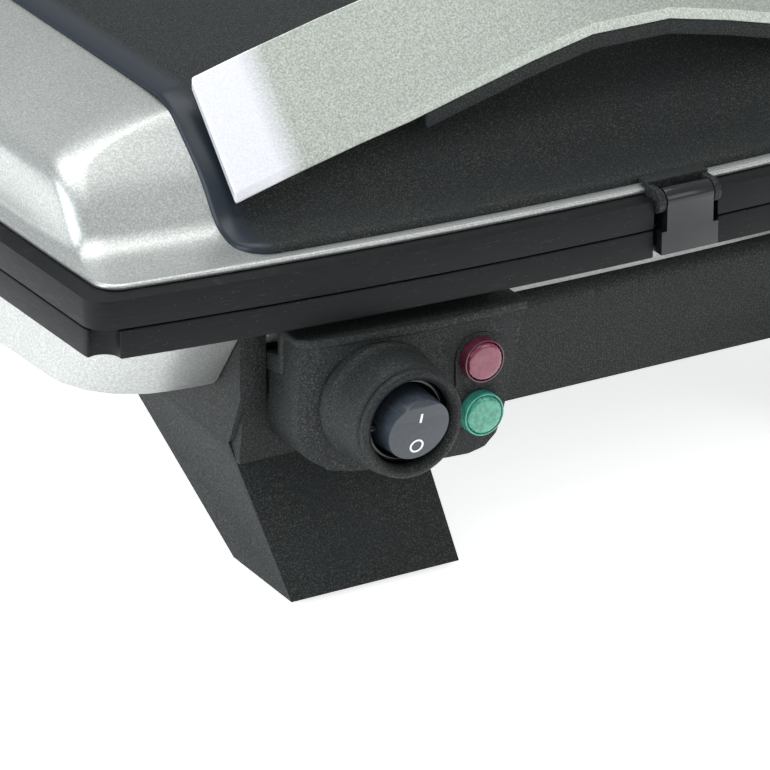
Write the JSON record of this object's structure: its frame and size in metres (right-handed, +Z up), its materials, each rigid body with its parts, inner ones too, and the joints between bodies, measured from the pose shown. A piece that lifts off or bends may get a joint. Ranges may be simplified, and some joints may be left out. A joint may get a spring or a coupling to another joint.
{
  "type": "panini press",
  "caption": "Contact grill with two ribbed plates, a floating rear hinge, an arched handle, splayed legs and a front control box with a rocker switch.",
  "frame": {"origin": "centre of the footprint of the whole press, at the underside of its rubber feet", "axes": "+Z up, +Y from the front (latch and switch) to the rear hinge, +X to the right of a person facing the front"},
  "size_m": [0.338, 0.2902, 0.1563],
  "materials": {
    "textured_black_plastic": "moulded with a fine spark texture",
    "smooth_black_plastic": "smooth, glossy",
    "silver_paint": "satin silver paint",
    "cast_plate": "cast, coated, machined edge",
    "bare_steel": "plain",
    "hinge_casting": "satin dark grey paint",
    "foot_rubber": "matt",
    "red_lens": "fluted, clear red",
    "green_lens": "fluted, clear green",
    "ceramic": "glazed ceramic",
    "shield_aluminium": "mill finish",
    "red_wire": "insulated wire"
  },
  "bodies": {
    "base": {"front_frame": "textured_black_plastic", "rear_frame": "textured_black_plastic", "foot_pads": "foot_rubber", "frame_screws": "bare_steel", "lower_housing": "silver_paint", "bottom_tray": "textured_black_plastic", "lower_plate": "cast_plate", "lower_heater": "bare_steel", "lower_heater_clips": "bare_steel", "lower_heat_shield": "shield_aluminium", "plate_screws": "bare_steel", "thermostat": "ceramic", "thermal_fuse": "ceramic", "terminal_block": "ceramic", "supply_wires": "red_wire", "cord_gland": "foot_rubber", "gland_nut": "textured_black_plastic", "control_box": "textured_black_plastic", "control_cover": "textured_black_plastic", "switch_bezel": "smooth_black_plastic", "rocker_pin": "smooth_black_plastic", "switch_module": "smooth_black_plastic", "red_lamp_lens": "red_lens", "green_lamp_lens": "green_lens", "lamp_holders": "ceramic", "latch_catch": "bare_steel", "hinge_brackets": "hinge_casting", "bracket_screws": "bare_steel"},
    "hinge_carriage": {"hinge_rod": "bare_steel", "rod_caps": "textured_black_plastic"},
    "lid": {"upper_plate": "cast_plate", "upper_heater": "bare_steel", "upper_heater_clips": "bare_steel", "upper_heat_shield": "shield_aluminium", "upper_thermostat": "ceramic", "hinge_arms": "hinge_casting", "arm_screws": "bare_steel", "lid_shell": "silver_paint", "lid_panel": "textured_black_plastic", "handle_cover": "silver_paint", "handle_grip": "textured_black_plastic", "handle_mounts": "textured_black_plastic", "handle_screws": "bare_steel", "latch_mount": "textured_black_plastic", "latch_pin": "bare_steel"},
    "latch": {"latch": "smooth_black_plastic"},
    "rocker": {"rocker": "smooth_black_plastic"}
  },
  "joints": [
    {"name": "hinge_float", "type": "slide", "parent": "base", "child": "hinge_carriage", "axis": [0, 0, 1], "range_m": [0, 0.015]},
    {"name": "lid_hinge", "type": "hinge", "parent": "hinge_carriage", "child": "lid", "pos_m": [0, 0.13605, 0.089], "axis": [-1, 0, 0], "range_deg": [0, 100]},
    {"name": "latch_pivot", "type": "hinge", "parent": "lid", "child": "latch", "pos_m": [0, -0.12345, 0.0915], "axis": [-1, 0, 0], "range_deg": [-8, 75]},
    {"name": "switch_rocker", "type": "hinge", "parent": "base", "child": "rocker", "pos_m": [-0.091, -0.13595, 0.0528], "axis": [-1, 0, 0], "range_deg": [0, 13]}
  ]
}
